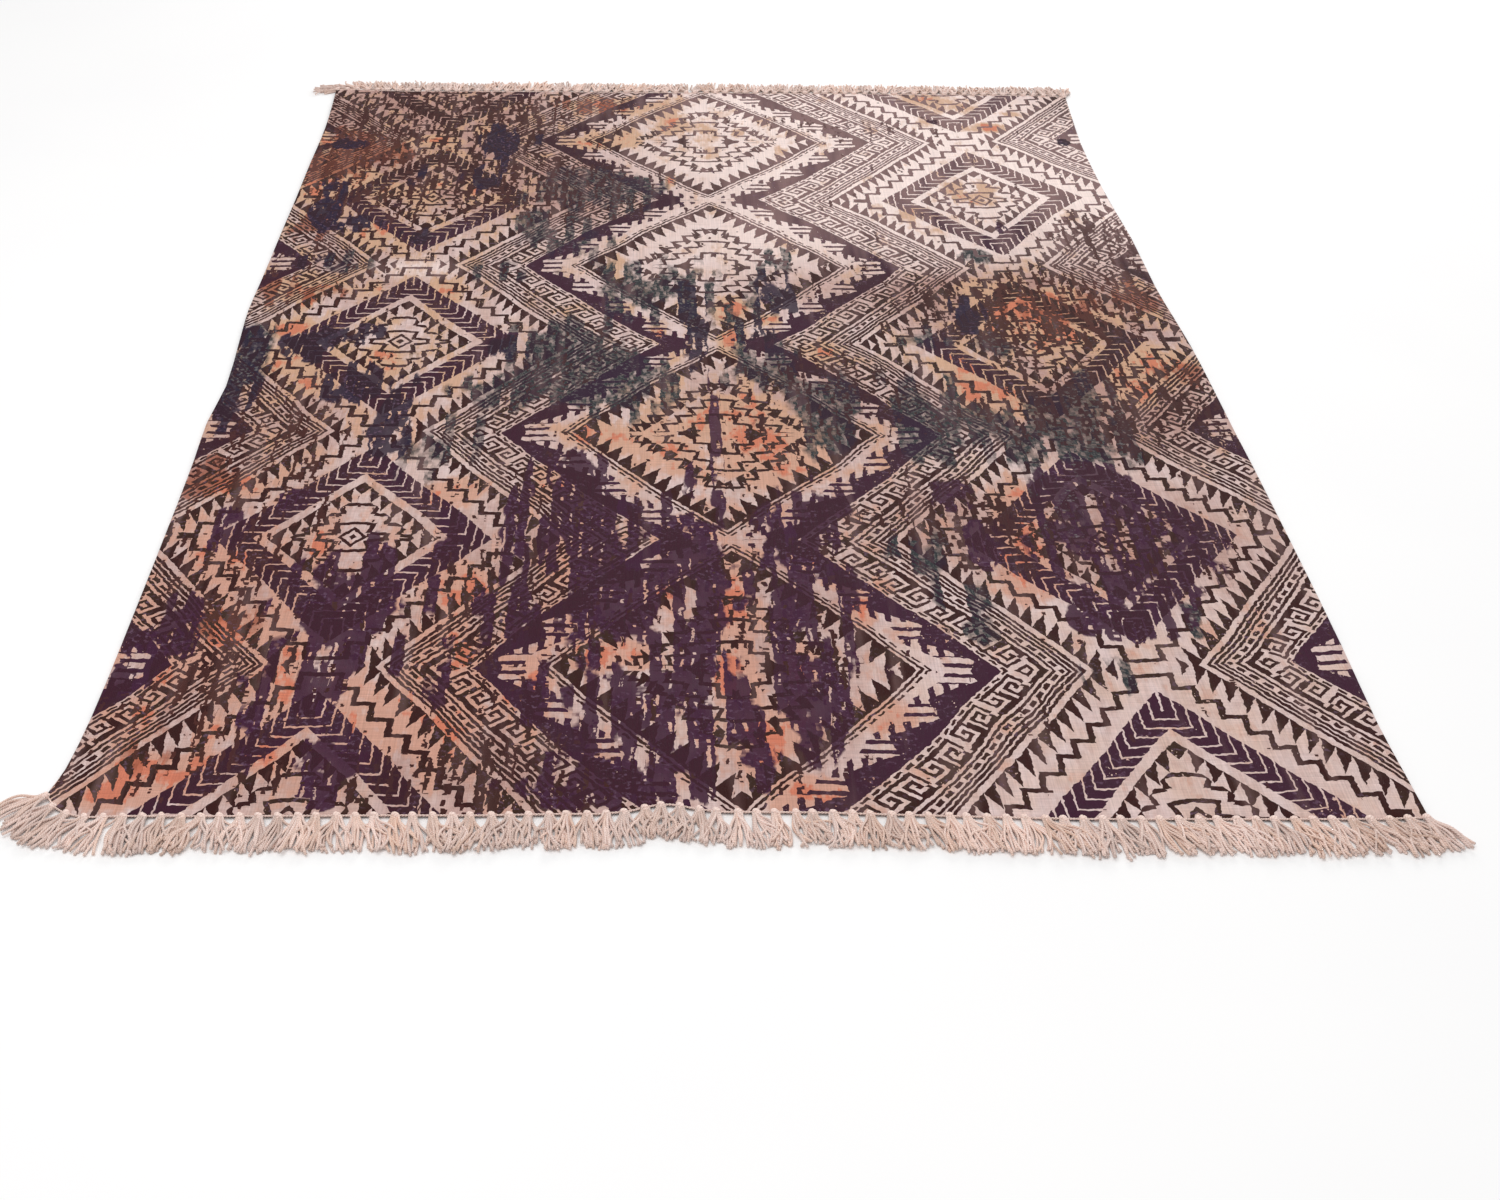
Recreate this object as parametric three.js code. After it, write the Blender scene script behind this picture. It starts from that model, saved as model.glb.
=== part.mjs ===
// Printed cotton rug, in millimetres. X runs across it, Y along it from the near end to the far end, Z up.
// The floor is Z = 0, and the origin is the middle of the cloth.
// The cloth is one flatwoven sheet. At each end its warp yarns are tied off in a row of knots against the
// last weft, and lie loose on the floor beyond the knots as a fringe.
import * as THREE from "three";

// Cloth
const CLOTH_WIDTH = 1200;
const CLOTH_LENGTH = 1800;
const CLOTH_THICKNESS = 3;
const EDGE_BEVEL = 0.8;
const POINTS_PER_ROW = 2;

// Fringe
const TASSELS = 74;
const PIECE_GAP = 0.4;
const STRIP_WIDTH = 1.8;
const STRIP_THICKNESS = 2.4;
const PORT_WIDTH = 3.4;
const BEND_REACH = 0.3;
const KNOT_REACH = 2.8;
const KNOT_DRIFT = 1.2;
const LOCK_LENGTH = 52;
const LOCK_LENGTH_DRIFT = 3.5;
const LOCK_SPLAY = 2.3;
const LOCK_WOBBLE = 0.9;
const LOCK_BEND = 0.35;

// The knot's section at its widest, by its left half from the floor up: half widths and heights.
const KNOT_SECTION = [
  { half: 1.8, height: 0 },
  { half: 3.3, height: 2.9 },
  { half: 1.9, height: 6 },
];

// A lock's section at the neck of the knot, at its middle and at its tip, by the share of its length.
const LOCK_SECTIONS = [
  { share: 0, width: 2.5, height: 2.8 },
  { share: 0.45, width: 4.4, height: 2.8 },
  { share: 1, width: 4.2, height: 1.8 },
];
const LOCK_TOP_SHARE = 0.7;
const NECK_GAP = 1.2;

// How far each long side stands out past a straight line, along the rug.
const SIDES = [
  { along: -840, left: 9, right: 0 },
  { along: -770, left: 4, right: -2 },
  { along: -640, left: 2, right: 1 },
  { along: -480, left: 1, right: 2 },
  { along: -300, left: 1, right: 2 },
  { along: -210, left: 3, right: 1 },
  { along: -120, left: -3, right: 1 },
  { along: 0, left: 2, right: 0 },
  { along: 90, left: 6, right: -4 },
  { along: 180, left: 4, right: -8 },
  { along: 340, left: 2, right: -8 },
  { along: 460, left: 0, right: -13 },
  { along: 600, left: -1, right: -15 },
  { along: 700, left: -3, right: -14 },
  { along: 790, left: -2, right: -9 },
];

// How far each end's edge is drawn back towards the middle, from the left corner to the right one.
// The near left corner is dragged back and out.
const NEAR_EDGE = [
  { across: -617, back: 27 },
  { across: -607, back: 16 },
  { across: -592, back: 8 },
  { across: -562, back: 2 },
  { across: -480, back: 0 },
  { across: -160, back: 1 },
  { across: 180, back: -1 },
  { across: 480, back: 0 },
  { across: 602, back: 1 },
];
const FAR_EDGE = [
  { across: -603, back: -7 },
  { across: -560, back: -2 },
  { across: -480, back: 2 },
  { across: -380, back: 0 },
  { across: -120, back: 1 },
  { across: 240, back: -1 },
  { across: 598, back: 0 },
];

// The direction in which the locks lie, in degrees to the right of straight out, along each end.
const NEAR_LEANS = [
  { across: -617, lean: -66 },
  { across: -600, lean: -56 },
  { across: -575, lean: -33 },
  { across: -540, lean: -14 },
  { across: -480, lean: -4 },
  { across: -330, lean: 5 },
  { across: -120, lean: -5 },
  { across: 90, lean: 5 },
  { across: 260, lean: 17 },
  { across: 440, lean: 22 },
  { across: 540, lean: 27 },
  { across: 602, lean: 50 },
];
const FAR_LEANS = [
  { across: -603, lean: -104 },
  { across: -588, lean: -42 },
  { across: -565, lean: -20 },
  { across: -480, lean: -6 },
  { across: -260, lean: 8 },
  { across: 0, lean: -2 },
  { across: 260, lean: 8 },
  { across: 420, lean: 2 },
  { across: 570, lean: 9 },
  { across: 598, lean: 20 },
];

// Where the locks are worn shorter, and by how much.
const NEAR_SHORT_PLACES = [
  { across: -444, reach: 14, cut: 11 },
  { across: -170, reach: 12, cut: 8 },
  { across: 60, reach: 16, cut: 9 },
  { across: 330, reach: 12, cut: 6 },
];
const FAR_SHORT_PLACES = [
  { across: -390, reach: 30, cut: 8 },
  { across: 90, reach: 20, cut: 7 },
  { across: 450, reach: 24, cut: 6 },
];

const ENDS = [
  {
    name: "near_fringe",
    facing: -1,
    edge: NEAR_EDGE,
    leans: NEAR_LEANS,
    shortPlaces: NEAR_SHORT_PLACES,
  },
  {
    name: "far_fringe",
    facing: 1,
    edge: FAR_EDGE,
    leans: FAR_LEANS,
    shortPlaces: FAR_SHORT_PLACES,
  },
];

// Points on a smooth line through the given ones, with more of them where the given ones are close.
function smoothLine(points) {
  const curve = new THREE.CatmullRomCurve3(
    points.map((p) => new THREE.Vector3(p.x, p.y, 0)),
    false,
    "centripetal",
  );
  const steps = (points.length - 1) * POINTS_PER_ROW;
  return curve.getPoints(steps).map((p) => new THREE.Vector2(p.x, p.y));
}

// A value from a table, on straight lines between its rows.
function tableValue(rows, across, column) {
  const after = rows.findIndex((row) => row.across >= across);
  if (after === 0) {
    return rows[0][column];
  }
  if (after < 0) {
    return rows[rows.length - 1][column];
  }
  const low = rows[after - 1];
  const high = rows[after];
  const share = (across - low.across) / (high.across - low.across);
  return THREE.MathUtils.lerp(low[column], high[column], share);
}

// An end's edge, from its left corner to its right one.
function endLine(end) {
  return smoothLine(
    end.edge.map((row) => ({ x: row.across, y: end.facing * (CLOTH_LENGTH / 2 - row.back) })),
  );
}

// A long side's edge from the near corner to the far one, without the corners themselves.
function sideLine(side, nearCorner, farCorner) {
  const facing = side === "left" ? -1 : 1;
  const between = SIDES.map((row) => ({ x: facing * (CLOTH_WIDTH / 2 + row[side]), y: row.along }));
  return smoothLine([nearCorner, ...between, farCorner]).slice(1, -1);
}

function clothOutline() {
  const near = endLine(ENDS[0]);
  const far = endLine(ENDS[1]);
  const right = sideLine("right", near[near.length - 1], far[far.length - 1]);
  const left = sideLine("left", near[0], far[0]);
  return [...near, ...right, ...far.reverse(), ...left.reverse()];
}

// The cloth is its outline extruded, with a small bevel for its soft edges.
function clothGeometry() {
  const geometry = new THREE.ExtrudeGeometry(new THREE.Shape(clothOutline()), {
    depth: CLOTH_THICKNESS - 2 * EDGE_BEVEL,
    bevelThickness: EDGE_BEVEL,
    bevelSize: EDGE_BEVEL,
    bevelOffset: -EDGE_BEVEL,
    bevelSegments: 1,
  });
  return geometry.translate(0, 0, EDGE_BEVEL);
}

// The unit vector that points straight out of an end, turned to the right by some degrees.
function direction(degreesRight, facing) {
  const angle = THREE.MathUtils.degToRad(degreesRight);
  return new THREE.Vector2(Math.sin(angle), facing * Math.cos(angle));
}

// The unit vector to the right of a direction that points out of an end.
function rightOf(out, facing) {
  return new THREE.Vector2(facing * out.y, -facing * out.x);
}

function lineLength(line) {
  return line.slice(1).reduce((sum, point, i) => sum + point.distanceTo(line[i]), 0);
}

// The point at a distance along an end's edge, and how far the edge faces to the right there, in degrees.
function placeOnEdge(line, distance, facing) {
  let left = distance;
  let i = 1;
  while (i < line.length - 1 && left > line[i].distanceTo(line[i - 1])) {
    left -= line[i].distanceTo(line[i - 1]);
    i += 1;
  }
  const run = line[i].clone().sub(line[i - 1]).normalize();
  const point = line[i - 1].clone().addScaledVector(run, left);
  const turn = THREE.MathUtils.radToDeg(Math.atan2(-facing * run.y, run.x));
  return { point, turn };
}

// A closed surface put together from rings of points.
class Surface {
  constructor() {
    this.positions = [];
    this.faces = [];
  }

  // Adds the points of a ring, which stands across the direction from its middle.
  ring(middle, right, corners) {
    const first = this.positions.length / 3;
    corners.forEach(([side, height]) => {
      this.positions.push(middle.x + right.x * side, middle.y + right.y * side, height);
    });
    return corners.map((corner, i) => first + i);
  }

  quad(a, b, c, d) {
    this.faces.push([a, b, c], [a, c, d]);
  }

  // Joins two rings with the same number of points.
  wall(back, front) {
    back.forEach((corner, i) => {
      const next = (i + 1) % back.length;
      this.quad(corner, back[next], front[next], front[i]);
    });
  }

  // Joins two rings with different numbers of points. A point's turn is its share of the way round.
  zip(back, backTurns, front, frontTurns) {
    const turnAt = (turns, i) => (i < turns.length ? turns[i] : 1);
    let b = 0;
    let f = 0;
    while (b < back.length || f < front.length) {
      const here = back[b % back.length];
      const there = front[f % front.length];
      const stepBack = b < back.length && turnAt(backTurns, b + 1) <= turnAt(frontTurns, f + 1);
      if (stepBack || f === front.length) {
        b += 1;
        this.faces.push([here, back[b % back.length], there]);
      } else {
        f += 1;
        this.faces.push([here, front[f % front.length], there]);
      }
    }
  }

  // Its faces are wound for the end that faces the near side, and turned round for the other one.
  geometry(facing) {
    const index = this.faces.flatMap(([a, b, c]) => (facing < 0 ? [a, b, c] : [a, c, b]));
    const geometry = new THREE.BufferGeometry();
    geometry.setAttribute("position", new THREE.Float32BufferAttribute(this.positions, 3));
    geometry.setIndex(index);
    geometry.computeVertexNormals();
    return geometry;
  }
}

// The corners of a four-sided bar that lies on the floor, narrower on top.
function barCorners(width, height, shift = 0) {
  const low = width / 2;
  const high = low * LOCK_TOP_SHARE;
  return [
    [shift - low, 0],
    [shift + low, 0],
    [shift + high, height],
    [shift - high, height],
  ];
}

// How long a tassel's locks are: a quick and a slow drift, less where they are worn.
function lockLength(end, number, across) {
  const drift = LOCK_LENGTH_DRIFT * (0.6 * Math.sin(number * 1.7) + 0.4 * Math.sin(number * 0.37));
  const worn = end.shortPlaces.reduce((sum, place) => {
    const away = Math.abs(across - place.across) / place.reach;
    return sum + place.cut * Math.max(0, 1 - away);
  }, 0);
  return LOCK_LENGTH + drift - worn;
}

// One lock, from its ring at the knot's neck to its tip. It bends a little more as it goes.
function addLock(surface, end, neckRing, start, lean, length) {
  const shares = LOCK_SECTIONS.map((section) => section.share);
  const headings = [lean, lean * (1 - LOCK_BEND / 2), lean * (1 + LOCK_BEND / 4)];
  let ring = neckRing;
  let middle = start;
  for (let i = 1; i < LOCK_SECTIONS.length; i += 1) {
    const out = direction(headings[i], end.facing);
    const { width, height } = LOCK_SECTIONS[i];
    middle = middle.clone().addScaledVector(out, length * (shares[i] - shares[i - 1]));
    const next = surface.ring(middle, rightOf(out, end.facing), barCorners(width, height));
    surface.wall(ring, next);
    ring = next;
  }
  surface.quad(...ring);
}

// A knot on its port in the strip's outer wall, and the two locks that leave its neck.
function addTassel(surface, end, number, port, place) {
  const lean = tableValue(end.leans, place.point.x, "lean");
  const knotOut = direction(THREE.MathUtils.lerp(place.turn, lean, 0.25), end.facing);
  const neckOut = direction(THREE.MathUtils.lerp(place.turn, lean, 0.6), end.facing);
  const knot = place.point.clone().addScaledVector(knotOut, KNOT_REACH);
  const neck = knot.clone().addScaledVector(neckOut, KNOT_REACH);
  const [foot, belly, crown] = KNOT_SECTION;
  const knotRing = surface.ring(knot, rightOf(knotOut, end.facing), [
    [-foot.half, foot.height],
    [foot.half, foot.height],
    [belly.half, belly.height],
    [crown.half, crown.height],
    [-crown.half, crown.height],
    [-belly.half, belly.height],
  ]);
  const start = LOCK_SECTIONS[0];
  const shift = (start.width + NECK_GAP) / 2;
  const [leftLow, leftIn, leftInTop, leftTop] = barCorners(start.width, start.height, -shift);
  const [rightIn, rightLow, rightTop, rightInTop] = barCorners(start.width, start.height, shift);
  const neckRight = rightOf(neckOut, end.facing);
  const neckRing = surface.ring(neck, neckRight, [
    leftLow,
    leftIn,
    rightIn,
    rightLow,
    rightTop,
    rightInTop,
    leftInTop,
    leftTop,
  ]);
  const portTurns = [0, 0.25, 0.5, 0.75];
  const knotTurns = [0, 0.25, 0.375, 0.5, 0.75, 0.875];
  const neckTurns = [0, 0.1, 0.15, 0.25, 0.5, 0.6, 0.65, 0.75];
  surface.zip(port, portTurns, knotRing, knotTurns);
  surface.zip(knotRing, knotTurns, neckRing, neckTurns);
  const [a, b, c, d, e, f, g, h] = neckRing;
  surface.quad(b, c, f, g);
  const length = lockLength(end, number, place.point.x);
  const locks = [
    { side: -1, ring: [a, b, g, h] },
    { side: 1, ring: [c, d, e, f] },
  ];
  locks.forEach(({ side, ring }) => {
    const wobble = LOCK_WOBBLE * Math.sin(number * 2.9 + side);
    const from = neck.clone().addScaledVector(neckRight, side * shift);
    addLock(surface, end, ring, from, lean + side * LOCK_SPLAY + wobble, length);
  });
}

// The distances along a line at which it bends.
function bendDistances(line) {
  let distance = 0;
  return line.slice(1, -1).map((point, i) => {
    distance += point.distanceTo(line[i]);
    return distance;
  });
}

// A fringe: the heading strip beside the cloth's edge, with a port in its outer wall for each tassel.
// The strip has a section at each side of a port, and wherever the cloth's edge bends.
function fringeGeometry(end) {
  const surface = new Surface();
  const line = endLine(end);
  const margin = KNOT_SECTION[1].half;
  const usable = lineLength(line) - 2 * margin;
  const bends = bendDistances(line);
  const [outerLow, innerLow, innerTop, outerTop] = [0, 1, 2, 3];

  const section = (distance) => {
    const before = placeOnEdge(line, distance - BEND_REACH, end.facing);
    const after = placeOnEdge(line, distance + BEND_REACH, end.facing);
    const { point } = placeOnEdge(line, distance, end.facing);
    const out = direction((before.turn + after.turn) / 2, end.facing);
    const sides = [
      [PIECE_GAP + STRIP_WIDTH, 0],
      [PIECE_GAP, 0],
      [PIECE_GAP, STRIP_THICKNESS],
      [PIECE_GAP + STRIP_WIDTH, STRIP_THICKNESS],
    ];
    return surface.ring(point, out, sides);
  };

  let last = section(0);
  let reached = 0;
  const stripTo = (distance) => {
    const between = bends.filter((bend) => bend > reached + BEND_REACH && bend < distance - BEND_REACH);
    [...between, distance].forEach((stop) => {
      const next = section(stop);
      surface.wall(last, next);
      last = next;
    });
    reached = distance;
  };

  surface.quad(...[...last].reverse());
  for (let number = 0; number < TASSELS; number += 1) {
    const drift = KNOT_DRIFT * Math.sin((Math.PI * number) / (TASSELS - 1)) * Math.sin(number * 2.4);
    const distance = margin + (usable * number) / (TASSELS - 1) + drift;
    stripTo(distance - PORT_WIDTH / 2);
    const left = last;
    const right = section(distance + PORT_WIDTH / 2);
    surface.quad(left[outerLow], left[innerLow], right[innerLow], right[outerLow]);
    surface.quad(left[innerLow], left[innerTop], right[innerTop], right[innerLow]);
    surface.quad(left[innerTop], left[outerTop], right[outerTop], right[innerTop]);
    const port = [left[outerLow], right[outerLow], right[outerTop], left[outerTop]];
    const place = placeOnEdge(line, distance, end.facing);
    place.point.addScaledVector(direction(place.turn, end.facing), PIECE_GAP + STRIP_WIDTH);
    addTassel(surface, end, number, port, place);
    last = right;
    reached = distance + PORT_WIDTH / 2;
  }
  stripTo(lineLength(line));
  surface.quad(...last);
  return surface.geometry(end.facing);
}

const printedCotton = new THREE.MeshStandardMaterial({
  color: new THREE.Color(0.42, 0.31, 0.33),
  roughness: 0.92,
  metalness: 0,
});

const naturalCotton = new THREE.MeshStandardMaterial({
  color: new THREE.Color(0.8, 0.72, 0.66),
  roughness: 0.9,
  metalness: 0,
});

const rug = new THREE.Group();

const cloth = new THREE.Mesh(clothGeometry(), printedCotton);
cloth.name = "printed_cloth";
rug.add(cloth);

ENDS.forEach((end) => {
  const fringe = new THREE.Mesh(fringeGeometry(end), naturalCotton.clone());
  fringe.name = end.name;
  rug.add(fringe);
});

export default rug;
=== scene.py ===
"""A printed flatwoven cotton rug on a plain floor.

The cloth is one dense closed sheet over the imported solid's outline. Its top is printed by a
material that draws the whole design with arithmetic. The fringes are tassels of plied yarns,
each behind a knot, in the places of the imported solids. Units are metres.
"""

import math

import bpy
import numpy as np
from mathutils import Matrix, Vector


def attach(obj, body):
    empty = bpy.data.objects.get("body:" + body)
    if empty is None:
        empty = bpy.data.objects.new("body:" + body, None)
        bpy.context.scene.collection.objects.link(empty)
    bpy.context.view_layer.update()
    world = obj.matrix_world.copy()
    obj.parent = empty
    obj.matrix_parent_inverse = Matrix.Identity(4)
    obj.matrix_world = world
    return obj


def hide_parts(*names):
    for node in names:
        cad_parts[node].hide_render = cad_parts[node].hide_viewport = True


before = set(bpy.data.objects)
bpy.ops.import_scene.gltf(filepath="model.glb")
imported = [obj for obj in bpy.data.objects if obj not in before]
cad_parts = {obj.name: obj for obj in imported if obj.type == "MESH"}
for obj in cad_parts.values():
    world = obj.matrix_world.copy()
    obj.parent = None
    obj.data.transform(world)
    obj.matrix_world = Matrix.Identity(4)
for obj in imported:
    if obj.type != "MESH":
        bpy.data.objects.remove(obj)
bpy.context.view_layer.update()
rng = np.random.default_rng(seed=74)

UP = np.array([0.0, 0.0, 1.0])

# Cloth
CLOTH_FLAT = (1.2, 1.8)
CELLS_ACROSS, CELLS_ALONG = 168, 250
CLOTH_TOP = 0.003
SWELL, PUCKER = 0.00028, 0.00008
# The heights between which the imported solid's rim is found, and the points it is redrawn with
RIM_LOW, RIM_HIGH = 0.0007, 0.0023
RIM_POINTS = 3000
# Rings of the rounded edge, from the top down: distance in from the outline, height
EDGE_RINGS = ((0.0012, 0.0030), (0.0004, 0.0027), (0.0, 0.0015), (0.0004, 0.0004), (0.0012, 0.0))
# Near left, near right, far right and far left
CORNERS = ((-0.617, -0.873), (0.602, -0.899), (0.598, 0.900), (-0.603, 0.907))
# Position across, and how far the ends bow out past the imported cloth, or in where it is negative
NEAR_BOW = (
    (-0.617, 0.0070), (-0.603, 0.0140), (-0.579, 0.0160), (-0.555, 0.0120), (-0.531, 0.0100),
    (-0.420, 0.0085), (-0.307, 0.0068), (-0.235, 0.0066), (-0.173, 0.0045), (-0.128, 0.0035),
    (-0.104, 0.0003), (-0.080, -0.0085), (-0.068, -0.0105), (-0.056, -0.0087), (-0.042, -0.0043),
    (-0.020, -0.0010), (0.063, -0.0015), (0.297, 0.0045), (0.560, 0.0032), (0.602, 0.0010),
)
FAR_BOW = ((-0.603, 0.0020), (-0.570, 0.0070), (0.000, 0.0090), (0.550, 0.0070), (0.598, 0.0020))
# How far along the rug the bow starts, and the length over which it sets in
BOW_FROM, BOW_BLEND = 0.800, 0.070
# Size and corner, in the bake picture, of the top and of all the rest, which lies under it
BAKE_TOP = ((0.996, 0.94), (0.002, 0.058))
BAKE_REST = ((0.996, 0.05), (0.002, 0.002))

# Fringe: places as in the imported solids
TASSELS = 74
KNOT_HALF_WIDTH = 0.0033
KNOT_DRIFT = 0.0012
LOCK_LENGTH = 0.052
LOCK_LENGTH_DRIFT = 0.0035
# The yarns' length for each metre of a packed lock
NEAR_LENGTH_SHARE, FAR_LENGTH_SHARE = 0.84, 0.74
# Position across, and the lean to the right of straight out, in degrees
NEAR_LEANS = (
    (-0.617, -64), (-0.600, -55), (-0.575, -38), (-0.540, -22), (-0.480, -6), (-0.330, 5),
    (-0.120, -5), (0.090, 5), (0.260, 17), (0.440, 22), (0.540, 28), (0.602, 38),
)
FAR_LEANS = (
    (-0.603, -84), (-0.580, -58), (-0.560, -22), (-0.480, -6), (-0.260, 8), (0.0, -2),
    (0.260, 8), (0.420, 2), (0.560, 4), (0.598, -4),
)
# Position across, and how far a tassel there turns to the right on its way, in degrees
NEAR_BENDS = ((-0.617, 26), (-0.560, 12), (-0.500, 0), (0.500, 0), (0.602, -12))
FAR_BENDS = ((-0.603, -46), (-0.580, -34), (-0.560, 0), (0.598, 0))
# Position across, half width and cut of the places where the yarns are worn shorter
NEAR_SHORT_PLACES = (
    (-0.444, 0.014, 0.011), (-0.195, 0.012, 0.012), (-0.090, 0.012, 0.008),
    (0.060, 0.016, 0.009), (0.330, 0.012, 0.006), (-0.020, 0.250, 0.004),
)
FAR_SHORT_PLACES = ((-0.390, 0.030, 0.008), (0.090, 0.020, 0.007), (0.450, 0.024, 0.006))

# A tassel's yarns: how far they start from the knot's middle, outwards and to each side
YARNS = 14
YARN_POINTS = 13
YARN_SIDES = 5
YARN_RADIUS = 0.00122
YARN_START, YARN_SPREAD = 0.0012, 0.0030
YARN_LENGTH_DRIFT = 0.0022
CUT_END_SWELL = 1.12
ALONG_YARN = np.linspace(0, 1, YARN_POINTS)
# Degrees that a tassel's outermost yarns lean out: all along, around FAN_AT, and less at the end
FAN, FAN_MORE, FAN_LESS = 5, 24, 8
FAN_AT, FAN_WIDTH = 0.37, 0.27
# Degrees by which tassels and single yarns wave and sweep, and that wild yarns sweep more
TASSEL_WAVE, TASSEL_SWEEP, YARN_WAVE, YARN_SWEEP, WILD_SWEEP = 9, 8, 9, 5, 24
# How far the neck, a crossing, the upper layer and a tip stand above the yarns on the floor
NECK_LIFT, CROSSING_LIFT, LAYER_LIFT, TIP_LIFT = 0.0030, 0.0019, 0.0004, 0.003

# A knot: its middle's distance from the cloth, the yarn coiled round it and the core inside
KNOT_OUT = 0.0016
COIL_POINTS, COIL_SIDES, COIL_TURNS = 25, 7, 2.6
COIL_LENGTH, COIL_SKEW = 0.0038, 0.0008
COIL_WIDE, COIL_HIGH, COIL_LIFT, COIL_TAPER = 0.0027, 0.0021, 0.0020, 0.35
COIL_DRIFT, COIL_WIDE_DRIFT = 0.0002, 0.00018
COIL_YARN_RADIUS = 0.00135
CORE_FROM, CORE_TO, CORE_DROP = -0.0036, 0.0040, 0.0003
CORE_RADII = (0.0009, 0.0021, 0.0025, 0.0025, 0.0022, 0.0014)
CORE_SIDES = 8

# The yarns twined along an end: step, steps in a turn and in a tube, thickness, offset and wave
TWINE_STEP, TWINE_TURN, TWINE_RUN = 0.00085, 7, 44
TWINE_RADIUS, TWINE_SIDES = 0.00062, 5
TWINE_OUT, TWINE_HEIGHT, TWINE_RISE = 0.0004, 0.0029, 0.0005

# Weave and ply: pitches, and the depths of their bumps
WARP_PITCH, WEFT_PITCH, WEAVE_DEPTH = 0.0019, 0.0013, 0.00035
PLY_PITCH, PLY_DEPTH = 0.0026, 0.0004
# The colour sockets of a Mix node
COLOUR_A, COLOUR_B, COLOUR_OUT = 6, 7, 2

# The print: across from a large diamond's middle to a star's, and along between two of either
COLUMN, ROWS = 0.4, 0.46
ROW_SHIFT = 0.00225
# The slope of a star's sides, and the direction of a large diamond's
SLOPE = 1.3
SIDE_ALONG, SIDE_ACROSS = 0.793, 0.61
# The right side is drawn a little higher: from where, and how much for each metre
HIGHER_FROM, HIGHER = 0.33, 0.09
# The hand's slow waver and the lines' rough edges: size and waves for each metre
WAVER, WAVER_RATE = 0.012, 9
ROUGH, ROUGH_RATE = 0.0035, 140
# How far out from a large diamond's middle its parts lie
CROSS_TO = 0.074
BLOCKS_FROM, BLOCKS_TO = 0.030, 0.056
THORNS_FROM = 0.095
RIM_SPIKES_FROM = 0.1390
MEDALLION_TO = 0.1765
BAND_FROM, BAND_TO = 0.190, 0.256
INNER_LINES_TO = 0.268
OUTER_SPIKES_FROM = 0.350
# How far out from a star's middle its parts lie
STAR_STAIRS_TO, STAR_RIM, STAR_TO = 0.066, 0.089, 0.0895
CHEVRONS_FROM, CHEVRONS_TO = 0.104, 0.1475
CHEVRON_TURN, CHEVRON_PITCH = 0.1255, 0.0138
MEDALLION_SPIKE_PITCH, SPIKE_PITCH = 0.0212, 0.0160
DASH_PITCH, FINGER_PITCH, HAND_PITCH = 0.0165, 0.0150, 0.0575
DASH_SHARE, FINGER_SHARE = 0.66, 0.58
# Lines of stairs: run and rise of a step, lean of its riser, height at the middle, half the
# line's width, and the fall of a tread where it isn't the usual one
MEDALLION_STAIRS = ((0.0158, 0.0203, 0.0065, 0.1225, 0.0027), (0.0158, 0.0198, 0.006, 0.083, 0.0027))
CROSS_STAIRS = (0.0165, 0.0215, 0.0, 0.047, 0.0025)
STAR_STAIRS = ((0.0160, 0.0205, 0.006, 0.066, 0.0031), (0.0160, 0.0205, 0.005, 0.028, 0.0028))
OUTER_STAIRS = (0.0186, 0.0238, 0.0, -0.013, 0.0031, 0.0)
KEY_CELL = 0.0039
KEY_FROM, KEY_TO = 0.2645, 0.300
# One repeat of the key border, with # for ink
KEY = (
    "######..########",
    "#....#..#.......",
    "#.##.#..#.####.#",
    "#.#..#..#.#..#.#",
    "#.####..#.##.#.#",
    "#........#...#.#",
    "########.#####.#",
)
BARE, DASHES, INK = 0.0, 0.5, 1.0
# The lines round a large diamond: where they start, then each one's outer edge and kind
INNER_LINES = (0.17, (
    (0.1798, BARE), (0.1838, INK), (0.1867, BARE), (0.1909, DASHES), (0.1990, BARE),
    (0.2560, INK), (0.2585, BARE), (0.2623, DASHES), (0.2700, BARE),
))
OUTER_LINES = (0.295, (
    (0.2998, BARE), (0.3038, INK), (0.3080, BARE), (0.3124, INK), (0.3147, BARE), (0.3204, DASHES),
    (0.3232, BARE), (0.3274, INK), (0.3297, BARE), (0.3344, INK), (0.3367, BARE), (0.3411, INK),
    (0.3492, BARE), (0.3606, INK),
))
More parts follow.
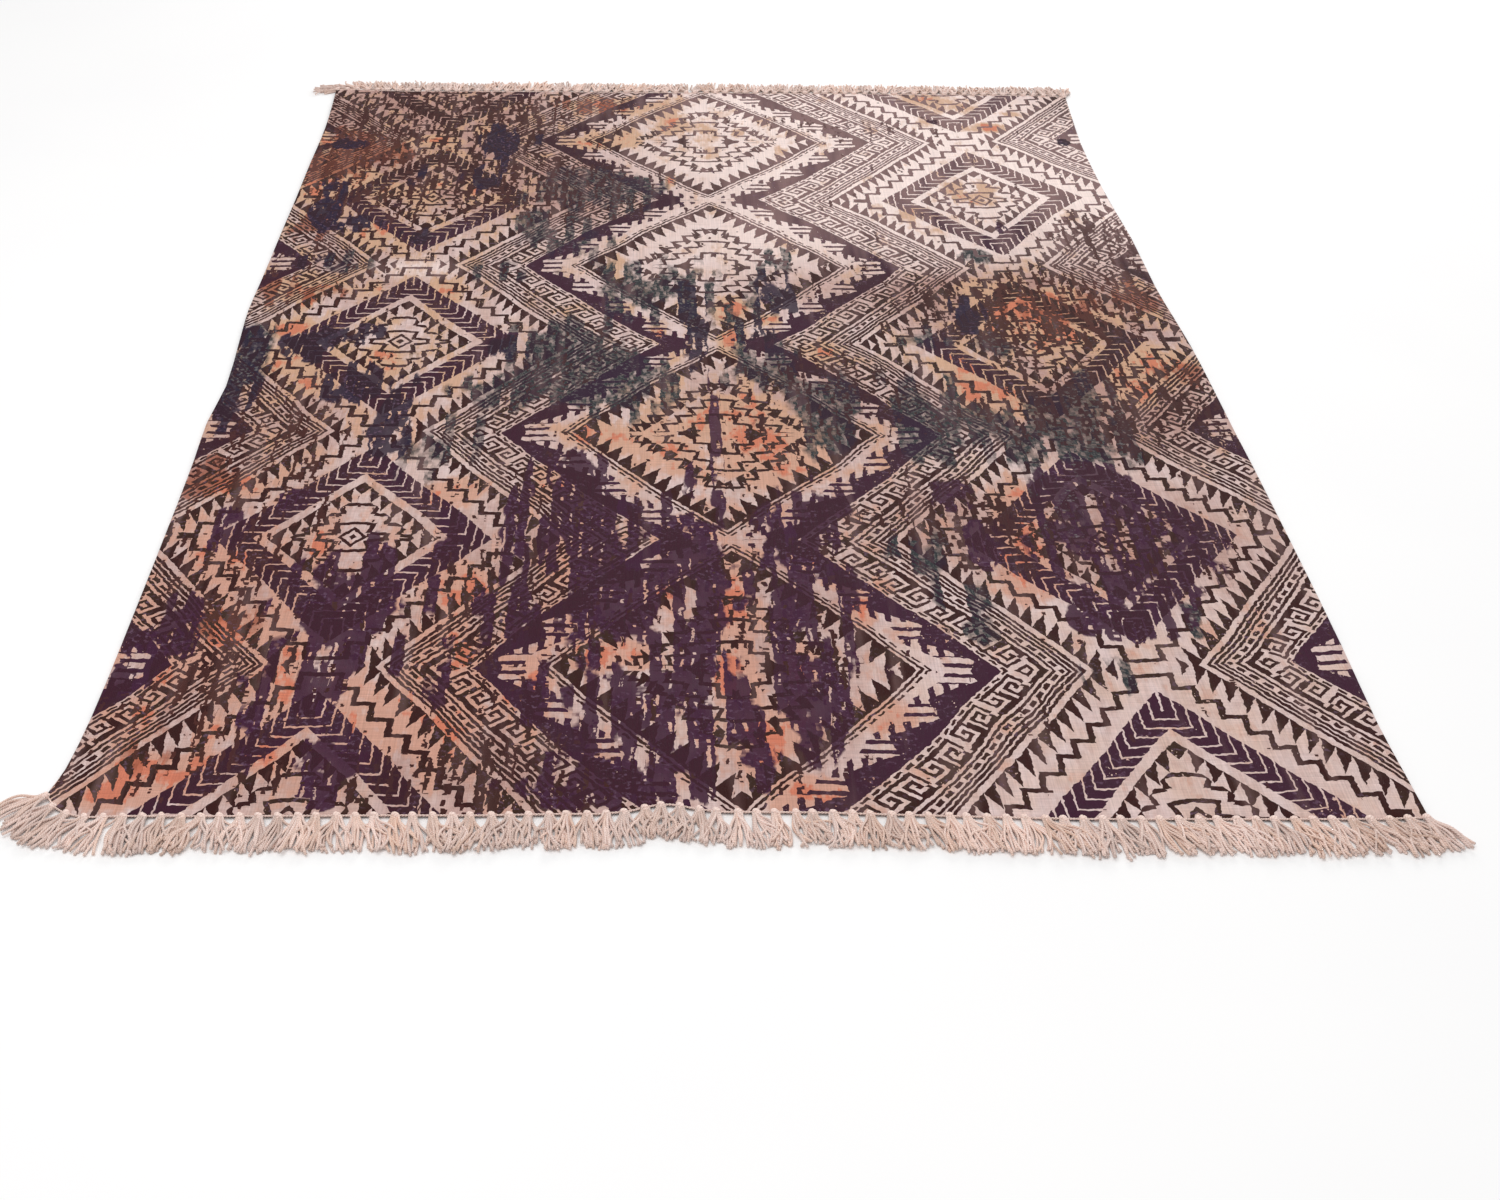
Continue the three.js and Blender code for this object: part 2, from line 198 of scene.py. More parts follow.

# Where the overprints and tints lie, in centimetres: across, along, half width, half length.
# The last number is the amount in hundredths. They follow the photo, as soft-edged
# places that fade out where the squared distance, 1 at the half widths, is STAIN_REACH.
STAIN_REACH, STAIN_FALL = 1.6, 1.5
STAINS = {
    "aubergine": (
        (-14, -62, 20, 33, 35), (42, -46, 15, 20, 30), (-42, -66, 14, 26, 28), (-45, 35, 16, 20, 20),
        (8, -60, 12, 30, 25), (-14.5, -44, 3.6, 15, 80), (-6, -46, 2, 13, 60), (-10, -56, 5, 9, 50),
        (-16.5, -33, 3, 7, 80), (-3.2, -62, 2.2, 32, 100), (-21.6, -46, 0.8, 20, 80),
        (-23.4, -44, 0.7, 13, 100), (-19.7, -46, 0.7, 15, 100), (-0.8, -26, 1, 24, 90),
        (7.5, -56, 4.5, 13, 80), (8.5, -40, 5, 9, 80), (7.5, -73, 3, 11, 60), (-7, -80, 5, 11, 60),
        (-14, -86, 5.5, 4.5, 70), (1, -80, 3, 9, 40), (-13, -74, 4.5, 6, 60), (-39.5, -68, 2.6, 9, 100),
        (-39.5, -60, 4.5, 5, 80), (-38.5, -84.5, 5, 6, 90), (-38, -53, 4.5, 8, 70), (-54, -44, 2.5, 5, 70),
        (-55.6, -60.2, 2.2, 4.5, 90), (-56.5, -65.5, 3.5, 3.5, 90), (-58.5, -71.1, 3, 3, 90),
        (38.8, 78.9, 4, 2.2, 50), (40.7, 36.6, 1.8, 3, 60), (-25.5, 1.4, 2.6, 1.6, 90),
        (42, -45, 9.5, 12, 45), (40, -33, 6, 5, 50), (27, -47, 2.5, 6, 70), (40, -60, 6.5, 4.5, 60),
        (25, -36, 3.5, 4.5, 50), (-30, -44, 2, 6, 40), (-48, -38, 3, 3, 40),
    ),
    "navy": (
        (-46, 45, 19, 30, 22), (-48, -5, 17, 20, 22), (-5, 5, 13, 20, 22), (-25, 72, 20, 20, 20),
        (30, 5, 10, 14, 20), (-58.5, -12, 3, 14, 100), (-59, 0, 2, 4.5, 80), (-54.5, 40, 2.8, 6, 70),
        (-55, 50, 2.4, 3.5, 80), (-50, 36, 3, 4, 50), (-33, 53, 2, 5.5, 90), (-32, 68, 3, 7, 70),
        (-40, 33, 3.5, 3.5, 60), (-55, 67, 2.8, 2.4, 80), (-54, 24, 3, 3.5, 70), (8, 18, 3, 7, 60),
        (-3.6, 5, 2.4, 13, 90), (10, 12, 4.5, 3.5, 70), (33, 10, 2.2, 6, 100), (5.5, 3, 2.6, 4.5, 70),
        (-38, -15, 2.4, 9, 80), (-40, -25, 3.5, 5, 70), (-26, -2, 4.5, 5, 50), (-48, -13, 2, 6, 50),
        (-45, 2, 3, 3, 50), (56, 70, 1.4, 1.4, 90), (-38.1, -22.4, 2.6, 8, 90), (-44.2, -11.4, 3, 6, 90),
        (-51.1, -0.9, 3.8, 4.8, 80),
    ),
    "veil": (
        (-20, 32, 20, 26, 27), (-20, -8, 23, 23, 22), (20, -16, 30, 20, 30), (-46, 0, 18, 16, 18),
        (2, 14, 16, 15, 35), (24, -48, 13, 20, 20), (-35, -30, 12, 16, 30), (42, -24, 16, 12, 35),
        (-19, -2, 8.5, 9, 70), (-58.5, -8, 3.5, 14, 90), (-50, 24, 5, 5, 60), (-25, -12, 8, 5, 80),
        (-12, -10, 7, 9, 80), (12, -18, 4, 11, 100), (6, -5, 5, 7, 70), (25, -18, 5, 12, 60),
        (41, -20, 5.5, 8, 100), (45, -10, 3.5, 5, 70), (35, 0, 2.8, 4.5, 70), (36, -69, 3.5, 4.5, 50),
        (24, -60, 4, 9, 50), (20, -48, 4.5, 4.5, 50), (46, -60, 1.8, 4.5, 60), (-23, 36, 7, 7, 50),
        (-17, 50, 11, 9, 90), (-10, 15, 6, 9, 60), (-30, 20, 5, 5, 20), (8, 26, 3.5, 5, 50),
        (36, 27, 3.5, 3.5, 60), (27, 2, 5, 4.5, 40), (38, -40, 5, 9, 40),
    ),
    "orange": (
        (-45, 50, 22, 40, 35), (-48, -5, 18, 25, 35), (-48, -62, 18, 35, 42), (45, 4, 20, 22, 40),
        (3, -45, 20, 50, 25), (-15, 78, 20, 17, 22), (-20, -65, 20, 28, 25), (20, 75, 20, 17, 5),
        (40, -45, 10, 15, 25), (-5, 10, 16, 16, 15), (-1, -21, 15, 12, 45), (-16, -21, 5, 6, 50),
        (-56, 55, 6, 16, 50), (-58, 68, 2, 2, 100), (-57, 48, 3.5, 5, 90), (-47, 33.5, 3, 4.5, 90),
        (-42, 68.5, 4.5, 2.6, 90), (-34.5, 73, 1.8, 3.5, 90), (-34.5, 50, 1.8, 5, 80),
        (-30, 46, 2.6, 3.5, 80), (-17, 68, 5, 3.5, 90), (-13, 72, 4.5, 4.5, 60), (-15, 85, 7, 4.5, 80),
        (-5, 80, 3.5, 9, 60), (-35, 16, 2.6, 4.5, 80), (-13, 23, 2.4, 5, 70), (-55, 16, 5, 5, 80),
        (-55, 4, 3.2, 2.6, 100), (-43, 47, 3.5, 4.5, 50), (0, 72, 4.5, 9, 35), (-5.5, 53, 0.9, 3.5, 90),
        (10, 72, 6, 9, 20), (39, 50, 6, 7, 50), (30, 40, 3.5, 4.5, 50), (38, 86, 6, 4.5, 60),
        (38, 10, 4.5, 8, 100), (43, 6, 4.5, 9, 90), (36, 17, 4.5, 3.5, 80), (45, 15, 4.5, 3.5, 60),
        (31, -10, 4.5, 8, 100), (35, -17, 3.5, 4.5, 70), (50, -10, 2.8, 6, 100), (55, -5, 4.5, 7, 70),
        (7, -28, 5, 9, 50), (-9, -27, 5, 9, 40), (3, -22, 3.5, 9, 70), (2, 10, 2.6, 5, 90),
        (2, 0, 1.8, 5.5, 100), (7, 7, 1.8, 1.8, 90), (12, -2, 2.6, 4.5, 70), (31.5, -45, 3.5, 13, 100),
        (30, -55, 2.6, 3.5, 80), (0, -58, 2.6, 9, 100), (0, -70, 3.2, 4.5, 100), (2, -80, 2.6, 7, 90),
        (6.5, -68, 1.8, 4.5, 90), (6, -78, 2.6, 4.5, 80), (6, -87, 3.5, 3, 100), (13, -58, 1.8, 4.5, 90),
        (14, -76, 4, 3.5, 50), (11, -54, 1.8, 1.8, 70), (-12, -67, 4.5, 2.6, 100), (-19, -72, 1.3, 7, 90),
        (-21, -73, 1.8, 1.8, 100), (-18, -55, 1.8, 11, 70), (-6.5, -55, 1.8, 5.5, 80),
        (-28, -56, 3.5, 5.5, 70), (-30, -36, 3.5, 4.5, 80), (-36, -20, 1.8, 7, 50),
        (-44, -70, 2.6, 5.5, 90), (-52, -50, 5.5, 5.5, 70), (-53, -68, 2.6, 2.6, 100),
        (-53, -86, 5.5, 3.5, 100), (-45, -83, 4.5, 1.8, 60), (-54, -5, 2.6, 4.5, 100),
        (-50, -10, 2.6, 5.5, 80), (-42, -8, 2.6, 7, 70), (-55, -35, 5.5, 2.6, 90), (-32, -10, 3.5, 5.5, 60),
        (-25, -70, 4.5, 5.5, 50), (-30, -78, 7, 9, 70), (-27, -65, 5.5, 4.5, 60), (-20, -35, 2.6, 9, 50),
        (-57, -78, 3, 3, 60), (37.4, 88.7, 6, 2.2, 60), (44.4, 75.9, 3.5, 2.5, 70), (48.8, 82.4, 4, 2, 60),
        (-50.8, -62.6, 2, 4.5, 90), (-54.9, -70.5, 3, 1.8, 90), (-54.9, -87.6, 4.5, 2.5, 90),
        (-42.3, -82.4, 1.8, 3.5, 90),
    ),
    "brick": (
        (-52, 45, 13, 35, 30), (-52, -30, 13, 30, 20), (48, 10, 16, 20, 25), (-20, 82, 20, 12, 20),
        (-25, 45, 16, 16, 15), (-56, 60, 6, 9, 100), (-52, 66, 6, 6, 70), (-56, 70, 4, 5, 70),
        (-57, 35, 3.5, 5.5, 50), (-58, 15, 3.5, 5.5, 80), (-58, -33, 3.5, 5.5, 80), (-20, 85, 7.5, 5.5, 60),
        (-47, 62, 4.5, 4.5, 60), (45, 12, 9, 8.5, 50), (55, 15, 5.5, 5.5, 60), (57, -7, 3.5, 4.5, 70),
        (-50, -62, 5.5, 4.5, 50), (-52, 14, 4, 4, 50), (-53, -80, 9, 11, 35),
    ),
    # Faded print together with painted glare: places where cream and ink are painted paler, mostly in the
    # far right part
    "fade_and_glare": (
        (32, 72, 33, 33, 100), (10, 84, 23, 16, 80), (55, 50, 17, 30, 90), (20, 45, 18, 23, 80),
        (2, 33, 15, 15, 50), (0, 60, 15, 14, 50), (-15, 80, 13, 13, 30), (-40, 22, 7, 4, 60),
        (34, 30, 12, 10, 40),
    ),
    "grime": (
        (-46, 62, 22, 33, 75), (-47, 84, 20, 13, 50), (-30, 70, 16, 20, 25), (-20, 82, 15, 15, 40),
        (-22, 50, 18, 15, 60), (-50, 20, 17, 14, 35), (-30, 10, 15, 16, 15), (-52, -18, 14, 20, 45),
        (-22, -15, 18, 18, 20), (-50, -60, 15, 33, 50), (-20, -55, 18, 25, 50), (-25, -85, 25, 10, 50),
        (5, -60, 11, 35, 45), (10, -15, 16, 16, 50), (42, 10, 20, 15, 88), (45, -15, 18, 14, 75),
        (42, -45, 17, 13, 60), (15, 18, 14, 10, 30), (55, 25, 9, 11, 50), (25, -42, 11, 11, 50),
        (20, 76, 28, 7, 35), (55, 37, 11, 9, 55), (35, 16, 12, 7, 40),
    ),
}
# The colour attributes that hold the maps of STAINS, one channel each
STAIN_LAYERS = (
    ("dark_stains", ("aubergine", "navy", "veil")),
    ("warm_stains", ("orange", "brick", "grime")),
    ("fade_and_glare_stains", ("fade_and_glare",)),
)


# Numbers in a material

def math_node(operation):
    """A function or operator that adds a Math node, fed by its arguments."""
    return lambda *values: calc(operation, *values)


class Num:
    """A number or colour in the material being built: arithmetic on it adds Math nodes."""

    tree = None
    __add__, __sub__ = math_node("ADD"), math_node("SUBTRACT")
    __mul__, __truediv__ = math_node("MULTIPLY"), math_node("DIVIDE")
    __lt__, __gt__ = math_node("LESS_THAN"), math_node("GREATER_THAN")
    __and__, __or__ = math_node("MULTIPLY"), math_node("MAXIMUM")

    def __init__(self, socket):
        self.socket = socket

    def __rsub__(self, other):
        return calc("SUBTRACT", other, self)

    def __neg__(self):
        return calc("MULTIPLY", self, -1.0)


def new_node(kind, **settings):
    node = Num.tree.nodes.new(kind)
    for name, value in settings.items():
        setattr(node, name, value)
    return node


def feed(socket, value):
    """Links a number or colour to a socket, or sets the socket to it."""
    if isinstance(value, Num):
        Num.tree.links.new(value.socket, socket)
    elif isinstance(value, tuple):
        socket.default_value = (*value, 1.0)
    else:
        socket.default_value = value


def calc(operation, *values, clamped=False):
    node = new_node("ShaderNodeMath", operation=operation, use_clamp=clamped)
    for socket, value in zip(node.inputs, values):
        feed(socket, value)
    return Num(node.outputs[0])


floor, frac, size, sine = map(math_node, ("FLOOR", "FRACT", "ABSOLUTE", "SINE"))
least, most = math_node("MINIMUM"), math_node("MAXIMUM")


def clamp(a):
    return calc("ADD", a, 0.0, clamped=True)


def above(value, limit, gain):
    """0 up to a limit and 1 a little over it, the sooner the larger the gain."""
    return clamp((value - limit) * gain)


def between(value, low, high):
    return (value > low) & (value < high)


def tooth(along, pitch):
    """0 in the valleys of a row of teeth and 1 at their tips."""
    return 1.0 - size(frac(along / pitch) * 2.0 - 1.0)


def mix(a, b, share):
    """a where share is 0, b where it is 1."""
    return calc("MULTIPLY_ADD", b - a, share, a)


def noise(x, y, detail=0.0, roughness=0.5):
    """Smooth noise from 0 to 1."""
    where = new_node("ShaderNodeCombineXYZ")
    feed(where.inputs["X"], x)
    feed(where.inputs["Y"], y)
    node = new_node("ShaderNodeTexNoise", noise_dimensions="2D")
    Num.tree.links.new(where.outputs[0], node.inputs["Vector"])
    node.inputs["Scale"].default_value = 1.0
    node.inputs["Detail"].default_value = detail
    node.inputs["Roughness"].default_value = roughness
    return Num(node.outputs[0])


def drift(x, y, detail=0.0, roughness=0.5):
    """Smooth noise about zero."""
    return noise(x, y, detail, roughness) - 0.5


def ramp(value, stops):
    """A stepped lookup: the value of the last stop that lies at or under value."""
    node = new_node("ShaderNodeValToRGB")
    feed(node.inputs[0], value)
    steps = node.color_ramp
    steps.interpolation = "CONSTANT"
    while len(steps.elements) < len(stops):
        steps.elements.new(1.0)
    for element, (position, level) in zip(steps.elements, stops):
        element.position = position
        element.color = (level, level, level, 1.0)
    return split("Color", Num(node.outputs[0]))[0]


def bands(value, start, rows):
    """The kind of the band that value lies in. The rows give each band's upper end and kind."""
    span = rows[-1][0] - start
    lows = (start, *(row[0] for row in rows[:-1]))
    stops = [((low - start) / span, kind) for low, (_, kind) in zip(lows, rows)]
    return ramp((value - start) / span, stops)


def chart(rows, column, row):
    """1 where the chart has ink, with its columns repeated without end."""
    wide = len(rows[0])
    # Each row is a binary number, and one of its digits is read off at every place.
    numbers = [int("".join("1" if cell == "#" else "0" for cell in line), 2) for line in rows]
    stops = [(i / len(rows), (number + 0.5) / 2**wide) for i, number in enumerate(numbers)]
    bits = ramp((row + 0.5) / len(rows), stops)
    shift = calc("POWER", 2.0, frac(column / wide) * wide + 1.0)
    return calc("MODULO", floor(bits * shift), 2.0)


def blend(a, b, share, how="MIX"):
    """Colour a where share is 0, b where it is 1, or with "MULTIPLY" a times b."""
    node = new_node("ShaderNodeMix", data_type="RGBA", blend_type=how)
    feed(node.inputs["Factor"], share)
    feed(node.inputs[COLOUR_A], a)
    feed(node.inputs[COLOUR_B], b)
    return Num(node.outputs[COLOUR_OUT])


def shaded(colour, light):
    """The colour made lighter or darker by a number."""
    grey = new_node("ShaderNodeCombineColor")
    for socket in grey.inputs:
        feed(socket, light)
    return blend(colour, Num(grey.outputs[0]), 1.0, "MULTIPLY")


def split(kind, whole):
    """The three numbers in a "Color" or a place, "XYZ"."""
    node = new_node("ShaderNodeSeparate" + kind)
    feed(node.inputs[0], whole)
    return [Num(socket) for socket in node.outputs]


def attribute(name):
    return split("Color", Num(new_node("ShaderNodeAttribute", attribute_name=name).outputs["Color"]))


def new_material(name):
    """An empty material, and where the shaded point lies on the rug: across and along."""
    made = bpy.data.materials.new(name)
    made.use_nodes = True
    made.node_tree.nodes.clear()
    Num.tree = made.node_tree
    return made, *split("XYZ", Num(new_node("ShaderNodeTexCoord").outputs["Object"]))[:2]


def surface(colour, roughness, height=None, depth=0.0, **fixed):
    """Ends the material with a shader, whose own sockets fixed sets."""
    shader = new_node("ShaderNodeBsdfPrincipled")
    feed(shader.inputs["Base Color"], colour)
    feed(shader.inputs["Roughness"], roughness)
    for name, value in fixed.items():
        feed(shader.inputs[name.replace("_", " ").title().replace("Ior", "IOR")], value)
    if height is not None:
        bump = new_node("ShaderNodeBump")
        bump.inputs["Strength"].default_value = 1.0
        bump.inputs["Distance"].default_value = depth
        feed(bump.inputs["Height"], height)
        Num.tree.links.new(bump.outputs[0], shader.inputs["Normal"])
    out = new_node("ShaderNodeOutputMaterial")
    Num.tree.links.new(shader.outputs[0], out.inputs[0])


# The design

def zigzag(x, y, run, rise, lean, start, pen, slant=0.002):
    """A line of stairs that falls by rise every run, with risers that lean out at their tops."""
    x = x - frac((y - start) / rise) * lean

    def level(x):
        step = most(x, 0.0) / run
        return y + floor(step) * rise + frac(step) * slant

    a, b = level(x - pen), level(x + pen)
    return (least(a, b) < start + pen) & (most(a, b) > start - pen)


def wavering(x, y):
    """A place, moved as by an unsteady hand and to roughen the edges of what is drawn there."""
    waver_x = drift(x * WAVER_RATE + 3.1, y * WAVER_RATE, 1) * WAVER
    waver_y = drift(x * WAVER_RATE + 40.0, y * WAVER_RATE, 1) * WAVER
    rough_x = drift(x * ROUGH_RATE, y * ROUGH_RATE + 5.0, 1) * ROUGH
    rough_y = drift(x * ROUGH_RATE + 9.0, y * ROUGH_RATE, 1) * ROUGH
    return x + waver_x + rough_x, y + waver_y + rough_y


def diamond_lines(x, y, out):
    """The lines, dashes, dark band and key border that run round a large diamond."""
    side = y * SIDE_ALONG - x * SIDE_ACROSS
    line = mix(bands(out, *INNER_LINES), bands(out, *OUTER_LINES), out > INNER_LINES_TO)
    # The dashes are shifted from ring to ring.
    dash = frac(side / DASH_PITCH + floor(out / 0.05) * 0.37) < DASH_SHARE
    ink = (line > 0.75) | (between(line, 0.25, 0.75) & dash)
    # Bare fingers that reach into the dark band
    level = frac(y / HAND_PITCH + 0.12) < 0.5
    upright = frac(x / FINGER_PITCH + 0.3) < FINGER_SHARE
    finger = mix(upright, frac(y / FINGER_PITCH + 0.27) < FINGER_SHARE, level)
    hand = tooth(y + 0.012, HAND_PITCH)
    reach = hand * 0.011 + (hand * 0.017 + 0.016) * finger + 0.200
    ink = mix(ink, 0.0, between(out, BAND_FROM, reach))
    column = floor(side / KEY_CELL + 400.0)
    row = floor((out - KEY_FROM) / ((KEY_TO - KEY_FROM) / len(KEY)))
    return mix(ink, chart(KEY, column, row), between(out, KEY_FROM, KEY_TO))


def medallion(x, y, out):
    """The inside of a large diamond: spikes, two lines of leaning stairs, a stepped cross."""
    along = x - y * 0.45
    spikes = out > tooth(along + 0.004, MEDALLION_SPIKE_PITCH) * 0.033 + RIM_SPIKES_FROM
    thorns = (tooth(along + 0.0146, MEDALLION_SPIKE_PITCH) - 0.35) * 0.040 + THORNS_FROM
    first, second = MEDALLION_STAIRS
    stairs = zigzag(x, y, *first) | zigzag(x, y, *second)
    ink = spikes | ((stairs | between(out, THORNS_FROM, thorns)) & (y > 0.004))
    dot = between(size(x - 0.036) + size(y - 0.004), 0.0, 0.010)
    ink = ink | ((zigzag(x, y, *CROSS_STAIRS) | dot) & (out < CROSS_TO))
    blocks = (frac(x / 0.033 + 0.25) < 0.36) & (frac(y / 0.041 + 0.2) < 0.4)
    return ink | (blocks & between(out, BLOCKS_FROM, BLOCKS_TO))


def star(x, y, out):
    """The star in the middle between large diamonds."""
    spikes = out > STAR_RIM - (1.0 - tooth(x - y * 0.2 + 0.003, SPIKE_PITCH)) * 0.026
    first, second = STAR_STAIRS
    stairs = zigzag(x, y, *first) | zigzag(x, y, *second)
    middle = x + y * 0.8
    return spikes | (stairs & (out < STAR_STAIRS_TO)) | between(middle, 0.011, 0.0165) | (middle < 0.005)


def drawn(x, y):
    """The ink of the design at a place, and the parts of it that are aubergine."""
    x, y = wavering(x, y)
    y = y - most(x - HIGHER_FROM, 0.0) * HIGHER
    # Across and along from the middle of the large diamond and of the star beside the place
    star_x = size(size(x) - COLUMN)
    x = COLUMN - star_x
    y = size(frac((y - ROW_SHIFT) / ROWS) * ROWS - ROWS / 2)
    star_y = ROWS / 2 - y
    out = x + y * (0.84 - least(most(x, 0.0), 0.18) * 0.56)
    star_out = star_x + star_y / SLOPE
    # Around the star: spikes, stairs and a band of chevrons
    spikes = out < (1.0 - tooth(x - y * 0.27 + 0.003, SPIKE_PITCH)) * 0.032 + OUTER_SPIKES_FROM
    outer = spikes | zigzag(star_x, -y, *OUTER_STAIRS)
    outer = mix(outer, 0.0, star_out < CHEVRONS_TO)
    turned = least(star_y, (CHEVRON_TURN - star_x) * SLOPE)
    shaft = frac((turned + 0.004) / CHEVRON_PITCH) > 0.17
    chevrons = between(star_out, CHEVRONS_FROM, CHEVRONS_TO)
    outer = mix(outer, shaft, chevrons)
    outer = mix(outer, star(star_x, star_y, star_out), star_out < STAR_TO)
    ink = mix(diamond_lines(x, y, out), medallion(x, y, out), out < MEDALLION_TO)
    ink = mix(ink, outer, out > OUTER_SPIKES_FROM)
    return ink, between(out, BAND_FROM, BAND_TO) | chevrons


# Colours

def tone(*levels):
    """A colour as seen on screen, from 0 to 255, as the light it stands for."""
    shares = [level / 255.0 for level in levels]
    return tuple(v / 12.92 if v <= 0.04045 else ((v + 0.055) / 1.055) ** 2.4 for v in shares)


CREAM = tone(219, 196, 193)
CREAM_WARM = tone(214, 184, 172)
TAN = tone(178, 138, 128)
# Cream paled by fading and by painted glare
FADED_CREAM_AND_GLARE = tone(248, 228, 222)
PEACH = tone(205, 153, 133)
GOLD = tone(205, 163, 132)
ORANGE = tone(206, 110, 80)
BRICK = tone(152, 82, 60)
VEIL = tone(49, 52, 55)
VEIL_PALE = tone(136, 134, 130)
BLACK = tone(54, 21, 20)
OLIVE = tone(58, 37, 27)
GRIME = tone(72, 40, 38)
AUBERGINE = tone(64, 28, 54)
NAVY = tone(38, 25, 50)
# Ink paled by fading and by painted glare
FADED_INK_AND_GLARE = tone(138, 108, 106)
SCUFF = tone(116, 88, 112)
REVERSE, REVERSE_DULL = tone(214, 196, 182), tone(200, 180, 167)
CAME_THROUGH = tone(150, 126, 126)
YARN, YARN_DULL = tone(247, 222, 213), tone(238, 204, 186)
# Painted shade for the grooves between a yarn's plies
PLY_GROOVE_SHADE = tone(172, 130, 110)
FLOOR, FLOOR_COOL = tone(254, 254, 254), tone(251, 251, 252)


def strokes(x, y, width, run, seed):
    """Noise that keeps its level across each lengthwise stroke of a width."""
    return drift(floor(x / width) * 3.7 + seed, y / run, 2, 0.6)


def printed(x, y, stains):
    """The colour of the printed side at a place, and how much ink lies there."""
    ink, aubergine_part = drawn(x, y)
    aubergine, navy, veil, orange, brick, grime, fade_and_glare = stains
    patch = drift(x * 24 + 7.0, y * 15, 2, 0.6)
    grain = drift(x * 260, y * 190 + 3.0, 1, 0.7)
    streak = drift(x * 42, y * 4, 2)
    ragged_x = x + grain * 0.003 + drift(x * 70, y * 55 + 8.0, 1) * 0.006
    shred = strokes(ragged_x, y, 0.0040, 0.017, 3.0)
    thread = strokes(ragged_x, y, 0.0046, 0.090, 91.0)
    bars = strokes(ragged_x, y, 0.0120, 0.160, 11.0) * 2.9 + patch * 0.6 + shred * 0.3
    dabs = strokes(ragged_x, y, 0.0210, 0.075, 57.0) * 1.4 + patch * 1.4 + shred * 0.7

    # The bare cotton, dulled where it is grimy, paled where the print has faded and by painted glare in the
    # far right part, with the warm dyes that have run over it
    ground = blend(CREAM, CREAM_WARM, clamp(patch * 3.0 + 0.5))
    ground = blend(ground, TAN, clamp(grime * 1.5 + streak + shred * 0.9 + 0.12))
    ground = blend(ground, FADED_CREAM_AND_GLARE, clamp(fade_and_glare * 1.1 + streak * 0.5))
    warm = blend(PEACH, GOLD, clamp(y * 2.5 + 1.1))
    ground = blend(ground, warm, above(orange + dabs * 0.7, 0.16, 3.5) * 0.85)
    ground = blend(ground, ORANGE, above(orange + dabs, 0.74, 6.0) * 0.75)
    ground = blend(ground, BRICK, above(brick + bars * clamp(brick * 2.0), 0.42, 6.0) * 0.8)
    # Grey-green veils, in which the weave shows as paler marks
    veiled = above(veil + bars * clamp(veil * 2.0) * 0.8, 0.34, 7.0)
    fleck = above(noise(x * 380 + y * 90, y * 260, 2, 0.6), 0.52, 8.0)
    veil_colour = blend(VEIL, VEIL_PALE, fleck * 0.3)
    ground = blend(ground, veil_colour, veiled * clamp(shred * 1.9 + 0.90 + thread))
    # The dark inks
    dark = blend(BLACK, OLIVE, clamp(patch * 4.0 + 0.4))
    dark = blend(dark, AUBERGINE, aubergine_part * clamp(0.7 - grime * 0.9 + aubergine))
    plum = above(least(aubergine, 0.85) + bars * clamp(aubergine * 2.5), 0.38, 14.0)
    blue = above(least(navy, 0.8) + bars * clamp(navy * 2.5), 0.40, 12.0)
    dark = blend(dark, NAVY, most(blue, veiled * 0.6))
    # Ink painted paler where the print has faded and by painted glare in the far right part
    dark = blend(dark, FADED_INK_AND_GLARE, clamp(fade_and_glare * 1.25 - aubergine_part * 0.2 + streak * 1.5) * 0.9)
    lines = ink * ((grain * 0.7 + patch * 0.4 + shred * 0.5) < 0.26)
    colour = blend(ground, dark, lines)
    # Shreds of ink off the lines, and places that the ink has filled but for slits
    shreds = (shred * 0.7 + thread * 0.8 + bars * 0.10 + least(grime, 0.60) * 0.42) > 0.27
    colour = blend(colour, blend(blend(GRIME, BRICK, brick * 0.4), dark, 0.4), shreds)
    slit_x = ragged_x / 0.0117
    open_run = noise(floor(slit_x) * 5.1, y * 30, 2, 0.7) > 0.55
    slit = (size(frac(slit_x) - 0.5) < 0.13) & open_run
    filled = most(plum, blue) * ((thread * 1.25 + shred * 0.4 + slit * 0.32 - lines * 0.4) < 0.24)
    over = blend(blend(AUBERGINE, NAVY, blue), BLACK, lines * 0.55)
    colour = blend(colour, over, filled * clamp(0.97 - veil * 0.14 + patch * 0.15))
    # Small rubbed places that took less of the dark ink
    inked = most(lines, filled)
    rubbed = above(noise(x * 170, y * 190, 2, 0.6), 0.57, 8.0) * clamp(patch * 6.0 + 0.3 + veil * 0.4)
    colour = blend(colour, blend(SCUFF, VEIL_PALE, veiled), rubbed * inked * 0.55)
    return colour, inked


# Materials

def single_wefts(x, y):
    """How single weft yarns take the dye a little differently, about zero."""
    return drift(x * 22, y * 780, 1)


def weave_height(x, y):
    """Weft ribs over finer warps, with fuzz."""
    sway = noise(x * 60, y * 60) * 0.5
    odd = sine(x * (math.pi / WARP_PITCH) + sway)
    rib = size(sine(y * (math.pi / WEFT_PITCH) + odd * 0.9 + sway))
    return rib * 0.6 + size(odd) * 0.25 + noise(x * 900, y * 700, 1) * 0.5


def printed_cotton():
    made, x, y = new_material("printed_cotton")
    stains = [level for name, kinds in STAIN_LAYERS for level in attribute(name)[:len(kinds)]]
    colour, inked = printed(x, y, stains)
    weft = single_wefts(x, y)
    warp = drift(x * 620, y * 16, 1)
    surface(
        shaded(colour, (weft + warp) * 0.34 + 1.0),
        clamp((weft + warp) * 0.25 + 0.86 - inked * 0.06),
        weave_height(x, y), WEAVE_DEPTH,
        sheen_weight=0.02, sheen_roughness=0.5, specular_ior_level=0.09,
    )
    return made


